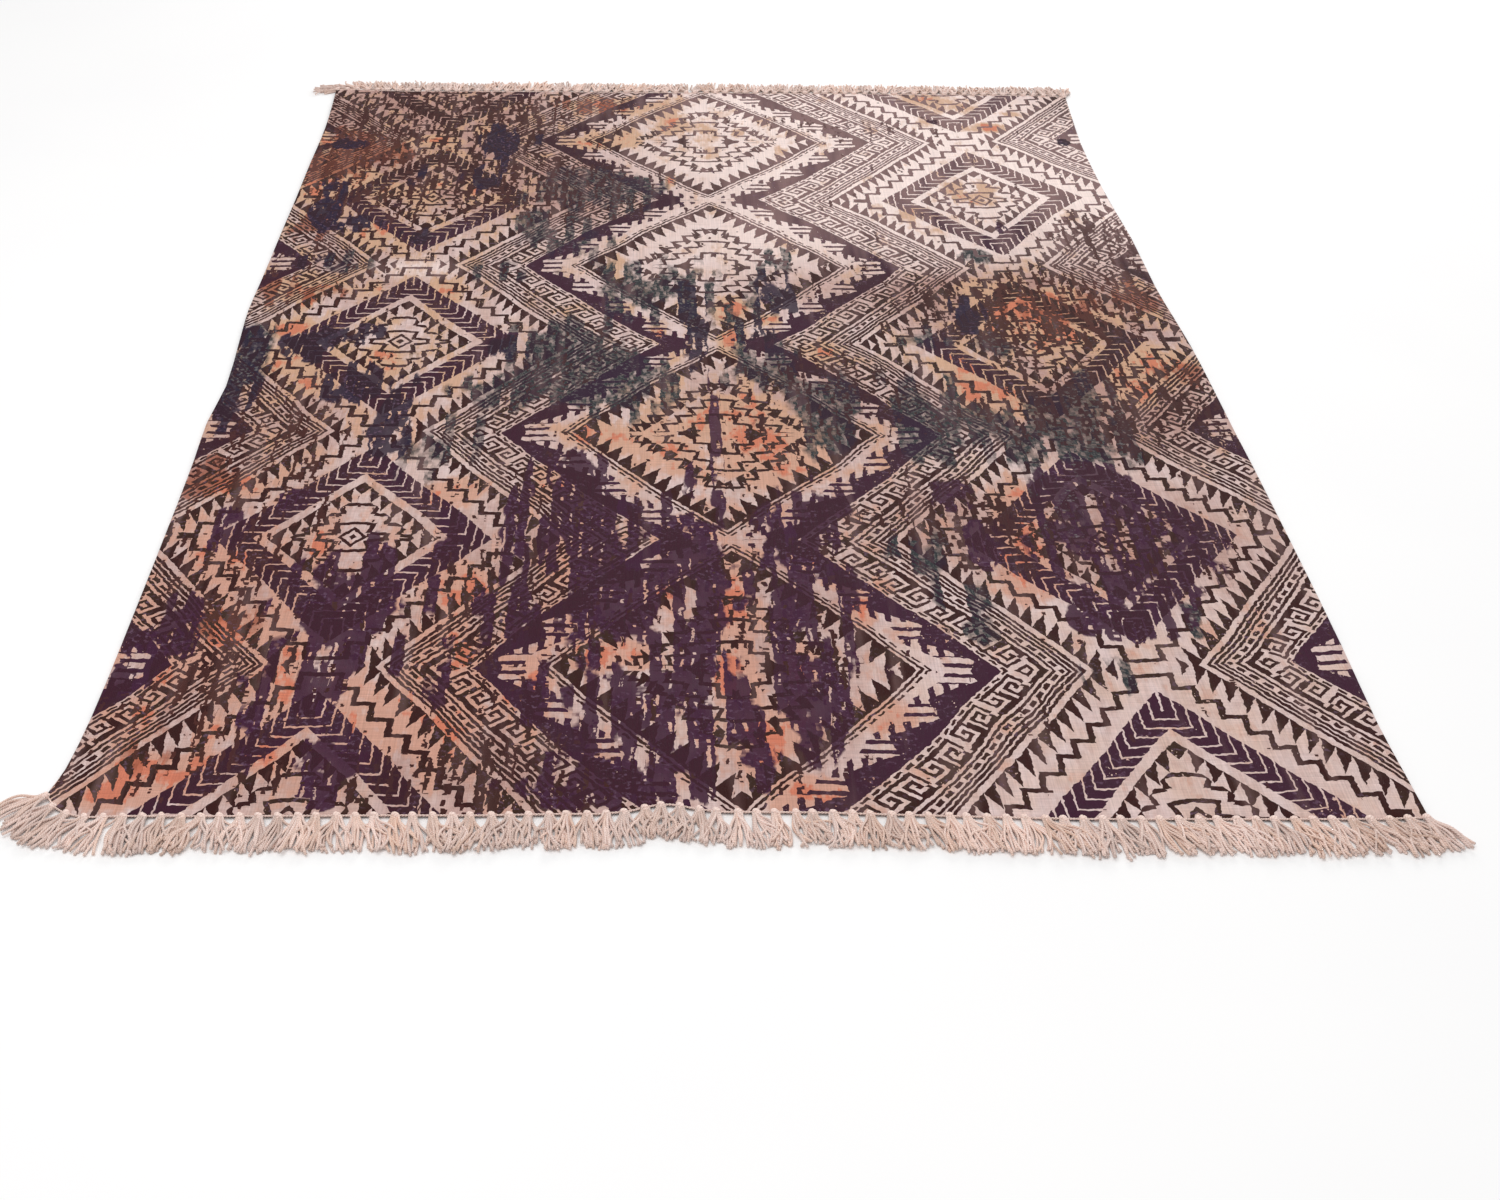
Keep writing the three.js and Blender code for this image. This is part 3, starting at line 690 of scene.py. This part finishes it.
def bare_underside():
    """The reverse: unprinted cotton, with a little ink that came through."""
    made, x, y = new_material("cotton_reverse")
    aubergine, navy, _ = attribute("dark_stains")
    patch = drift(x * 25, y * 25, 2, 0.6)
    weft = single_wefts(x, y)
    colour = blend(REVERSE, REVERSE_DULL, clamp(patch * 1.5 + 0.5))
    through = clamp((most(aubergine, navy) + patch * 0.9 - 0.25) * 1.2)
    colour = shaded(blend(colour, CAME_THROUGH, through * 0.4), weft * 0.4 + 1.0)
    surface(
        colour, clamp(weft * 0.3 + 0.88), weave_height(x, y), WEAVE_DEPTH,
        sheen_weight=0.2, specular_ior_level=0.2,
    )
    return made


def fringe_cotton():
    """Plied yarn: its twist is drawn round and along each tube, with painted shade in the gaps between the
    plies, and fuzz.
    """
    made, x, y = new_material("fringe_cotton")
    turn, along, _ = split("XYZ", Num(new_node("ShaderNodeUVMap", uv_map="Ply").outputs[0]))
    dullness, brightness, _ = attribute("shade")
    fuzz = drift(x * 900, y * 900, 2)
    ply = size(sine(turn * math.pi * 2 + along * (math.pi / PLY_PITCH)))
    colour = blend(YARN, YARN_DULL, dullness)
    # Painted shade in the grooves between the plies
    colour = blend(colour, PLY_GROOVE_SHADE, clamp(0.5 - ply * 1.2) * 0.75)
    surface(
        shaded(colour, fuzz * 0.35 + brightness * 0.38 + 0.70),
        clamp(fuzz * 0.4 + 0.86), ply + fuzz * 0.6, PLY_DEPTH,
        sheen_weight=0.2, specular_ior_level=0.2,
    )
    return made


def studio_floor():
    made, x, y = new_material("studio_floor")
    tint = noise(x * 3, y * 3, 2)
    surface(blend(FLOOR, FLOOR_COOL, tint), clamp(tint * 0.1 + 0.8), specular_ior_level=0.1)
    return made


# Cloth

def reached(points):
    """The distance along a line at each of its points."""
    steps = np.hypot(*np.diff(points, axis=0).T)
    return np.concatenate([[0.0], np.cumsum(steps)])


def point_at(points, distances, at):
    """The line's points at some distances along it."""
    return np.stack([np.interp(at, distances, points[:, k]) for k in (0, 1)], -1)


def resampled(points, count):
    """The same line with count points at even distances."""
    distances = reached(points)
    return point_at(points, distances, np.linspace(0.0, distances[-1], count))


def headings(line):
    """The way a line runs at each of its points."""
    ahead = np.gradient(line, axis=0)
    return ahead / np.linalg.norm(ahead, axis=1)[:, None]


def cloth_sides():
    """The outline's four sides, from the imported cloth: near, right, far, left, anticlockwise."""
    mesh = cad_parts["printed_cloth"].data
    co = np.array([v.co for v in mesh.vertices])
    rim = co[(co[:, 2] > RIM_LOW) & (co[:, 2] < RIM_HIGH), :2]
    rim = np.unique(rim.round(6), axis=0)
    rim = rim[np.argsort(np.arctan2(rim[:, 1], rim[:, 0]))]
    rim = resampled(np.concatenate([rim, rim[:1]]), RIM_POINTS + 1)[:-1]
    at = [int(np.argmin(np.hypot(*(rim - corner).T))) for corner in CORNERS]
    for bow, facing in ((NEAR_BOW, -1), (FAR_BOW, 1)):
        across, distances = np.array(bow).T
        share = np.clip((facing * rim[:, 1] - BOW_FROM) / BOW_BLEND, 0, 1)
        rim[:, 1] += facing * share * np.interp(rim[:, 0], across, distances)
    sides = []
    for start, end in zip(at, at[1:] + at[:1]):
        run = np.arange(start, end + 1 if end > start else end + 1 + len(rim)) % len(rim)
        sides.append(rim[run])
    return sides


def inset(sides, distance):
    """The sides moved in by a distance, each with its own count of points."""
    loop = np.concatenate([side[:-1] for side in sides])
    ahead = np.roll(loop, -1, 0) - np.roll(loop, 1, 0)
    ahead /= np.hypot(*ahead.T)[:, None]
    moved = loop + np.stack([-ahead[:, 1], ahead[:, 0]], 1) * distance
    cut = np.cumsum([0] + [len(side) - 1 for side in sides])
    return [np.concatenate([moved[a:b], moved[b % len(moved)][None]]) for a, b in zip(cut, cut[1:])]


def spanned(sides):
    """A grid of points over the area between four sides."""
    near, right, far, left = sides
    far, left = far[::-1], left[::-1]
    u = np.linspace(0, 1, CELLS_ACROSS + 1)[None, :, None]
    v = np.linspace(0, 1, CELLS_ALONG + 1)[:, None, None]
    flat = (1 - v) * near[None] + v * far[None] + (1 - u) * left[:, None] + u * right[:, None]
    near_corners = (1 - u) * (1 - v) * near[0] + u * (1 - v) * near[-1]
    return flat - (near_corners + u * v * far[-1] + (1 - u) * v * far[0])


def swell(x, y):
    """How much the cloth lifts off the floor, which is hardly."""
    wave = np.sin(x * 9 + 1.3 * np.sin(y * 5)) * np.sin(y * 7 + 2.0 * np.sin(x * 4 + 1))
    pucker = np.sin(x * 31 + y * 13) * np.sin(y * 37 - x * 11)
    return SWELL * (1 + wave) + PUCKER * (1 + pucker)


def stain_map(x, y, names):
    """Soft-edged places, one colour channel for each name."""
    out = np.zeros((len(x), 4))
    out[:, 3] = 1.0
    for k, name in enumerate(names):
        clear = np.ones(len(x))
        for row in STAINS[name]:
            across, along, half_wide, half_long, amount = (number / 100 for number in row)
            away = ((x - across) / half_wide) ** 2 + ((y - along) / half_long) ** 2
            clear *= 1 - amount * np.clip(1 - away / STAIN_REACH, 0, 1) ** STAIN_FALL
        out[:, k] = 1 - clear
    return out


def new_piece(name, points, faces):
    mesh = bpy.data.meshes.new(name)
    mesh.from_pydata(points.tolist(), [], faces)
    mesh.polygons.foreach_set("use_smooth", np.ones(len(mesh.polygons), bool))
    mesh.update()
    made = bpy.data.objects.new(name, mesh)
    bpy.context.scene.collection.objects.link(made)
    return made


def add_uv(mesh, name, rows):
    layer = mesh.uv_layers.new(name=name)
    layer.data.foreach_set("uv", rows.astype(np.float32).ravel())


def add_colours(mesh, name, rows):
    layer = mesh.attributes.new(name, "FLOAT_COLOR", "POINT")
    layer.data.foreach_set("color", rows.astype(np.float32).ravel())


def rim_run(grid):
    """The grid's border, anticlockwise from the near left corner."""
    return np.concatenate([grid[0, :-1], grid[:-1, -1], grid[-1, :0:-1], grid[:0:-1, 0]])


def cloth_mesh(sides):
    """The points and faces of the closed sheet: the top first, then the underside, then the edge."""
    top = spanned(inset(sides, EDGE_RINGS[0][0]))
    lift = swell(top[..., 0], top[..., 1])
    ids = np.arange(lift.size).reshape(lift.shape)
    points = [np.dstack([top, CLOTH_TOP + lift]).reshape(-1, 3), np.dstack([top, lift * 0.5]).reshape(-1, 3)]
    corners = [ids[:-1, :-1], ids[:-1, 1:], ids[1:, 1:], ids[1:, :-1]]
    top_faces = np.stack(corners, -1).reshape(-1, 4)
    low_faces = top_faces[:, ::-1] + ids.size
    rings = [rim_run(ids)]
    count = ids.size * 2
    for distance, height in EDGE_RINGS[1:-1]:
        loop = np.concatenate([side[:-1] for side in inset(sides, distance)])
        z = height + rim_run(lift) * (0.5 + 0.5 * height / CLOTH_TOP)
        points.append(np.column_stack([loop, z]))
        rings.append(np.arange(count, count + len(loop)))
        count += len(loop)
    rings.append(rim_run(ids + ids.size))
    edge_faces = [
        np.stack([upper, lower, np.roll(lower, -1), np.roll(upper, -1)], -1)
        for upper, lower in zip(rings, rings[1:])
    ]
    return np.concatenate(points), top_faces, low_faces, np.concatenate(edge_faces)


def make_cloth():
    counts = (CELLS_ACROSS + 1, CELLS_ALONG + 1) * 2
    sides = [resampled(side, count) for side, count in zip(cloth_sides(), counts)]
    points, top_faces, low_faces, edge_faces = cloth_mesh(sides)
    faces = np.concatenate([top_faces, low_faces, edge_faces])
    made = new_piece("rug_cloth", points, faces.tolist())
    mesh = made.data
    # The top fills nearly all of the bake picture, and the rest lies in a strip under it.
    x, y = points[:, 0], points[:, 1]
    uv = np.column_stack([(x - x.min()) / np.ptp(x), (y - y.min()) / np.ptp(y)])[faces.reshape(-1)]
    is_top = np.arange(len(uv)) < top_faces.size
    for chosen, (extent, corner) in ((is_top, BAKE_TOP), (~is_top, BAKE_REST)):
        uv[chosen] = uv[chosen] * extent + corner
    add_uv(mesh, "OFBake", uv)
    for name, kinds in STAIN_LAYERS:
        add_colours(mesh, name, stain_map(x, y, kinds))
    mesh.materials.append(printed_cotton())
    mesh.materials.append(bare_underside())
    slots = np.zeros(len(faces), np.int32)
    slots[len(top_faces):len(top_faces) + len(low_faces)] = 1
    mesh.polygons.foreach_set("material_index", slots)
    return made, sides


# Fringe

class Tubes:
    """Many closed tubes in one mesh. Each has a cell of its own in the bake picture."""

    COLUMNS, ROWS = 36, 36
    # The first edge and the size of a tube's picture in its cell: round it, and along it
    CELL_U, CELL_V = (0.1, 0.8), (0.04, 0.92)

    def __init__(self):
        self.points, self.faces, self.count = [], [], 0
        self.ply, self.bake, self.shade, self.cells = [], [], [], 0

    def add(self, path, radii, sides, reference, shade, start=0.0):
        """Adds a tube along path, (n, 3) points, which never runs along reference."""
        n = len(path)
        ahead = headings(path)
        side = np.cross(reference, ahead)
        side /= np.linalg.norm(side, axis=1)[:, None]
        up = np.cross(ahead, side)
        turn = np.arange(sides) * (2 * math.pi / sides)
        radii = np.broadcast_to(radii, (n,))[:, None, None]
        ring = side[:, None] * np.cos(turn)[None, :, None] + up[:, None] * np.sin(turn)[None, :, None]
        self.points.append((path[:, None] + ring * radii).reshape(-1, 3))
        i, j = np.meshgrid(np.arange(n - 1), np.arange(sides), indexing="ij")
        k = (j + 1) % sides
        quads = np.stack([i * sides + j, i * sides + k, (i + 1) * sides + k, (i + 1) * sides + j], -1)
        self.faces.extend((quads.reshape(-1, 4) + self.count).tolist())
        self.faces.append([self.count + m for m in range(sides - 1, -1, -1)])
        self.faces.append([self.count + (n - 1) * sides + m for m in range(sides)])
        self.count += n * sides
        # Round the tube and along it, at each corner of each face, with the two ends' faces last
        corner_u = np.stack([j, j + 1, j + 1, j], -1).reshape(-1) / sides
        corner_i = np.stack([i, i, i + 1, i + 1], -1).reshape(-1)
        caps_u = np.concatenate([np.arange(sides - 1, -1, -1), np.arange(sides)]) / sides
        caps_i = np.repeat([0, n - 1], sides)
        u, at = np.concatenate([corner_u, caps_u]), np.concatenate([corner_i, caps_i])
        run = np.concatenate([[0], np.cumsum(np.linalg.norm(np.diff(path, axis=0), axis=1))])
        self.ply.append(np.column_stack([u, run[at] + start]))
        row, column = divmod(self.cells, self.COLUMNS)
        bake_u = (column + self.CELL_U[0] + self.CELL_U[1] * u) / self.COLUMNS
        bake_v = (row + self.CELL_V[0] + self.CELL_V[1] * at / (n - 1)) / self.ROWS
        self.bake.append(np.column_stack([bake_u, bake_v]))
        self.shade.append(np.tile((*shade, 0.0, 1.0), (n * sides, 1)))
        self.cells += 1

    def piece(self, name):
        made = new_piece(name, np.concatenate(self.points), self.faces)
        add_uv(made.data, "OFBake", np.concatenate(self.bake))
        add_uv(made.data, "Ply", np.concatenate(self.ply))
        add_colours(made.data, "shade", np.concatenate(self.shade))
        return made


def facing_out(degrees, facing):
    """The way straight out of an end, turned to the right by some degrees."""
    angle = np.radians(degrees)
    return np.stack([np.sin(angle), facing * np.cos(angle)], -1)


def table_value(rows, across):
    places, values = np.array(rows).T
    return float(np.interp(across, places, values))


def tassel_places(edge, facing):
    """The tassels' places beside an end's edge, and how far the edge turns to the right there."""
    distances = reached(edge)
    usable = distances[-1] - 2 * KNOT_HALF_WIDTH
    for number in range(TASSELS):
        share = number / (TASSELS - 1)
        drifted = KNOT_DRIFT * math.sin(math.pi * share) * math.sin(number * 2.4)
        distance = KNOT_HALF_WIDTH + usable * share + drifted
        i = min(int(np.searchsorted(distances, distance)), len(edge) - 1)
        run = edge[max(i, 1)] - edge[max(i, 1) - 1]
        turn = math.degrees(math.atan2(-facing * run[1], run[0]))
        yield number, point_at(edge, distances, distance), turn


def lock_length(number, across, short_places):
    drifted = LOCK_LENGTH_DRIFT * (0.6 * math.sin(number * 1.7) + 0.4 * math.sin(number * 0.37))
    worn = sum(cut * max(0.0, 1 - abs(across - place) / reach) for place, reach, cut in short_places)
    return LOCK_LENGTH + drifted - worn


def tassel_course(bend):
    """How a tassel's yarns turn together along their length, in degrees."""
    wave = rng.normal(0, TASSEL_WAVE)
    sweep = bend + rng.normal(0, TASSEL_SWEEP)
    phase = rng.uniform(0, 2 * math.pi)
    return wave * (np.sin(4.2 * ALONG_YARN + phase) - math.sin(phase)) + sweep * ALONG_YARN


def yarn_path(start, lean, course, aim, length, facing, layer, wild):
    """A yarn from its knot to its cut end: it fans out, bends about and comes to lie on the floor."""
    t = ALONG_YARN
    phase = rng.uniform(0, 2 * math.pi)
    waves = rng.uniform(3.0, 8.0)
    bends = rng.normal(0, YARN_WAVE + YARN_WAVE * wild) * (np.sin(waves * t + phase) - math.sin(phase))
    bends = bends + rng.normal(0, YARN_SWEEP + WILD_SWEEP * wild) * t**2
    # The yarns spread widest a third of the way along, and turn in again towards their ends.
    fan = aim * (FAN + FAN_MORE * np.exp(-((t - FAN_AT) / FAN_WIDTH) ** 2) - FAN_LESS * t**3)
    steps = facing_out(lean + course + fan + bends, facing) * (length / (YARN_POINTS - 1))
    flat = start + np.concatenate([[[0, 0]], np.cumsum(steps[1:], 0)])
    crossing = np.exp(-((t - rng.uniform(0.3, 0.8)) / 0.25) ** 2) * layer * CROSSING_LIFT
    rest = YARN_RADIUS + NECK_LIFT * np.exp(-t * 6) + layer * LAYER_LIFT
    tip = rng.uniform(0, 1) ** 3 * TIP_LIFT * t**3
    return np.column_stack([flat, rest + crossing + tip])


def add_knot(tubes, middle, out, right, shade):
    """A yarn wound round the tassel's neck, and the core that it is wound on."""
    t = np.linspace(0, 1, COIL_POINTS)
    turn = (t * COIL_TURNS + rng.uniform(0, 1)) * 2 * math.pi
    along = (t - 0.5) * COIL_LENGTH + rng.normal(0, COIL_DRIFT) + COIL_SKEW * np.cos(turn)
    bulge = 1 - COIL_TAPER * (2 * t - 1) ** 2
    wide = COIL_WIDE + rng.normal(0, COIL_WIDE_DRIFT)
    height = COIL_HIGH + COIL_LIFT
    axis = np.array([*out, 0.0])
    path = np.array([*middle, height]) + axis * along[:, None]
    path = path + np.array([*right, 0.0]) * (wide * bulge * np.cos(turn))[:, None]
    path = path + UP * (COIL_HIGH * bulge * np.sin(turn))[:, None]
    tubes.add(path, COIL_YARN_RADIUS, COIL_SIDES, axis, shade)
    core = np.linspace(CORE_FROM, CORE_TO, len(CORE_RADII))[:, None]
    core = np.array([*middle, height - CORE_DROP]) + axis * core
    tubes.add(core, np.array(CORE_RADII), CORE_SIDES, UP, shade)


def add_twine(tubes, edge, facing):
    """Two yarns twined along the last weft, beside the cloth's edge."""
    line = resampled(edge, 1 + int(CLOTH_FLAT[0] / TWINE_STEP))
    ahead = headings(line)
    out = np.column_stack([ahead[:, 1], -ahead[:, 0]]) * -facing
    turn = np.arange(len(line)) * (2 * math.pi / TWINE_TURN)
    for phase in (0, math.pi):
        aside = out * (TWINE_OUT + TWINE_OUT * np.cos(turn + phase))[:, None]
        path = np.column_stack([line + aside, TWINE_HEIGHT + TWINE_RISE * np.sin(turn + phase)])
        for k in range(0, len(path) - 1, TWINE_RUN):
            run = path[k:k + TWINE_RUN + 1]
            tubes.add(run, TWINE_RADIUS, TWINE_SIDES, UP, (0.1, 0.9), k * TWINE_STEP)


def add_tassel(tubes, at, turn, facing, leans, bends, length):
    """A knot and its yarns at a place beside an edge that is turned to the right by turn degrees."""
    lean = table_value(leans, at[0])
    knot_out = facing_out(turn + (lean - turn) * 0.25, facing)
    middle = at + knot_out * KNOT_OUT
    right = np.array([facing * knot_out[1], -facing * knot_out[0]])
    dullness, brightness = np.clip(rng.normal(0.3, 0.25), 0, 1), rng.uniform(0.3, 0.9)
    add_knot(tubes, middle, knot_out, right, (dullness * 0.3, 1.0))
    sway = rng.normal(0, 4)
    wild = rng.uniform(0, 1) ** 3
    course = tassel_course(table_value(bends, at[0]))
    for k in range(YARNS):
        aim = (k + 0.5) / YARNS * 2 - 1 + rng.normal(0, 0.12)
        start = middle + knot_out * YARN_START + right * aim * YARN_SPREAD
        reach = length + rng.normal(0, YARN_LENGTH_DRIFT)
        layer = (k % 2) + rng.uniform(0, 0.6)
        path = yarn_path(start, lean + sway, course, aim, reach, facing, layer, wild)
        radius = YARN_RADIUS * rng.uniform(0.9, 1.1) * np.ones(YARN_POINTS)
        radius[-1] *= CUT_END_SWELL
        dull = np.clip(dullness + rng.normal(0, 0.2), 0, 1)
        bright = np.clip(brightness + rng.normal(0, 0.15), 0, 1)
        tubes.add(path, radius, YARN_SIDES, UP, (dull, bright), rng.uniform(0, 0.01))


def make_fringe(name, edge, facing, leans, bends, short_places, length_share):
    """edge runs from the left corner to the right one."""
    tubes = Tubes()
    for number, at, turn in tassel_places(edge, facing):
        length = lock_length(number, at[0], short_places) * length_share
        add_tassel(tubes, at, turn, facing, leans, bends, length)
    add_twine(tubes, edge, facing)
    piece = tubes.piece(name + "_yarns")
    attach(piece, "root")
    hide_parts(name)
    return piece


cloth, cloth_edges = make_cloth()
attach(cloth, "root")
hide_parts("printed_cloth")

near_edge, far_edge = cloth_edges[0], cloth_edges[2][::-1]
near_fringe = make_fringe(
    "near_fringe", near_edge, -1, NEAR_LEANS, NEAR_BENDS, NEAR_SHORT_PLACES, NEAR_LENGTH_SHARE,
)
far_fringe = make_fringe(
    "far_fringe", far_edge, 1, FAR_LEANS, FAR_BENDS, FAR_SHORT_PLACES, FAR_LENGTH_SHARE,
)
yarn_material = fringe_cotton()
for fringe in (near_fringe, far_fringe):
    fringe.data.materials.append(yarn_material)

# Floor and light
FLOOR_REACH, FLOOR_DROP = 9, 0.0003
floor_corners = [(x * FLOOR_REACH, y * FLOOR_REACH, 0) for x, y in ((-1, -1), (1, -1), (1, 1), (-1, 1))]
floor_mesh = bpy.data.meshes.new("floor")
floor_mesh.from_pydata(floor_corners, [], [(0, 1, 2, 3)])
floor_piece = bpy.data.objects.new("floor", floor_mesh)
floor_piece.location.z = -FLOOR_DROP
bpy.context.scene.collection.objects.link(floor_piece)
floor_mesh.materials.append(studio_floor())


def area_light(name, at, target, extent, power, colour):
    lamp = bpy.data.lights.new(name, "AREA")
    lamp.shape = "RECTANGLE"
    lamp.size, lamp.size_y = extent
    lamp.energy = power
    lamp.color = colour
    made = bpy.data.objects.new(name, lamp)
    made.location = at
    made.rotation_euler = (Vector(target) - Vector(at)).to_track_quat("-Z", "Y").to_euler()
    bpy.context.scene.collection.objects.link(made)


area_light(
    "window_light", at=(1.3, 4.0, 1.5), target=(0.2, 0.4, 0), extent=(2.6, 1.6), power=85,
    colour=(1.0, 0.985, 0.97),
)
area_light(
    "overhead_light", at=(-0.6, -1.0, 3.2), target=(0, 0, 0), extent=(3.0, 3.0), power=52,
    colour=(1.0, 0.99, 0.98),
)

world = bpy.data.worlds.new("studio")
world.use_nodes = True
background = world.node_tree.nodes["Background"]
background.inputs["Color"].default_value = (1.0, 1.0, 1.0, 1.0)
background.inputs["Strength"].default_value = 0.58
bpy.context.scene.world = world
bpy.context.scene.view_settings.view_transform = "Standard"

# Camera, fitted to the cloth's four corners in the photograph: angles in radians, lens in mm
YAW, PITCH, ROLL = 0.0053575, 0.6000842, 0.0100923
CAMERA_PLACE = Vector((-0.0891314, -2.1993493, 1.1173970))
LENS, SENSOR, SHIFT = 46.5447, 36.0, 0.0646142
heading = Matrix.Rotation(-YAW, 4, "Z") @ Matrix.Rotation(math.pi / 2 - PITCH, 4, "X")
camera_data = bpy.data.cameras.new("camera")
camera_data.sensor_width = SENSOR
camera_data.lens = LENS
camera_data.shift_x = SHIFT
camera = bpy.data.objects.new("camera", camera_data)
camera.matrix_world = Matrix.Translation(CAMERA_PLACE) @ heading @ Matrix.Rotation(ROLL, 4, "Z")
bpy.context.scene.collection.objects.link(camera)
bpy.context.scene.camera = camera

bpy.context.view_layer.update()
